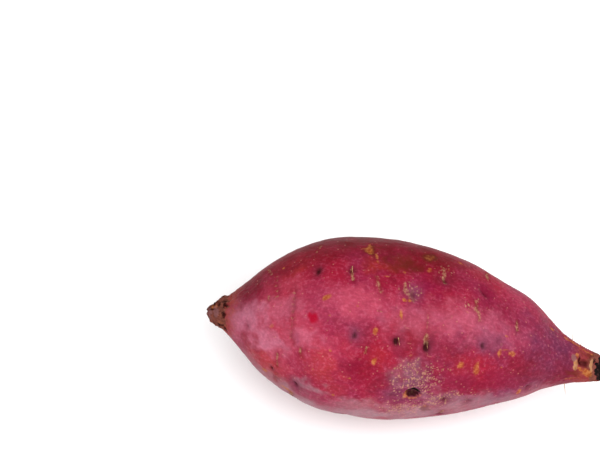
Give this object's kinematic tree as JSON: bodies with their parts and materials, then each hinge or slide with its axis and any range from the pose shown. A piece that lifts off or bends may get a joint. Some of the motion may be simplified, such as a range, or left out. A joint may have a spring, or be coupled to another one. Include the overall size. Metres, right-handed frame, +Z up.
{
  "type": "sweet potato",
  "caption": "Whole raw sweet potato: a plump spindle-shaped root with a woody crown stub and a thin snapped tail, lying on a small flat spot, for a kitchen, market or still-life scene.",
  "frame": {"origin": "on the surface that the root rests on, under the middle of its bounding box", "axes": "+Z up; +X along the root from the crown stub to the tail; Y across it"},
  "size_m": [0.17, 0.0754, 0.0715],
  "materials": {
    "skin": "raw crimson to purple root skin, satin, with corky scars and a woody crown"
  },
  "bodies": {
    "root": {"sweet_potato": "skin"}
  },
  "joints": []
}
